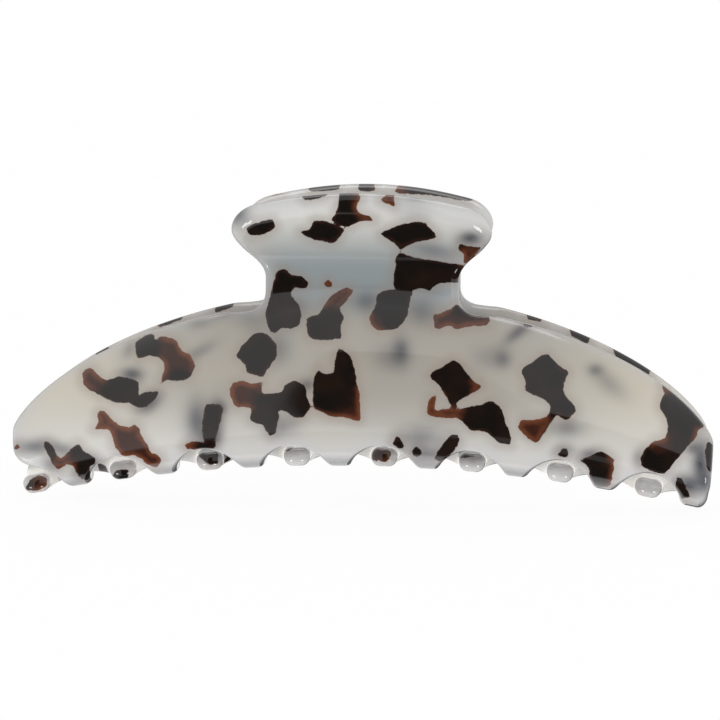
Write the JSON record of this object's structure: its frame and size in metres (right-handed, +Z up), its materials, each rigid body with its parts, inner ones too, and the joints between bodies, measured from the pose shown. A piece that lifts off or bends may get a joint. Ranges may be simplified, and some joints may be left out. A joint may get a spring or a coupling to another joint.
{
  "type": "claw hair clip",
  "caption": "Wide claw hair clip: two arched acetate jaws with interleaved teeth and flared thumb tabs, on a sprung steel hinge pin.",
  "frame": {"origin": "centre of the bounding box's base, at the level of the lowest teeth, with the clip closed", "axes": "+X along the clip's width and the hinge pin, +Y from the front jaw to the rear jaw, +Z up from the teeth to the thumb tabs"},
  "size_m": [0.1086, 0.0306, 0.0497],
  "materials": {
    "acetate": "polished cream acetate with dark brown and grey tortoiseshell chips",
    "lug_acetate": "polished cream acetate",
    "steel": "drawn steel",
    "spring_steel": "nickel-plated spring wire"
  },
  "bodies": {
    "front": {"front_jaw": "acetate", "front_lug_left": "lug_acetate", "front_lug_right": "lug_acetate", "hinge_pin": "steel", "pin_cap_left": "steel", "pin_cap_right": "steel", "torsion_spring": "spring_steel"},
    "rear": {"rear_jaw": "acetate", "rear_lug_left": "lug_acetate", "rear_lug_right": "lug_acetate"}
  },
  "joints": [
    {"name": "jaw_hinge", "type": "hinge", "parent": "front", "child": "rear", "pos_m": [0, 0, 0.0356], "axis": [1, 0, 0], "range_deg": [0, 46], "stiffness_Nm_per_rad": 0.12, "springref_deg": -28.65, "deforming": ["torsion_spring"]}
  ]
}
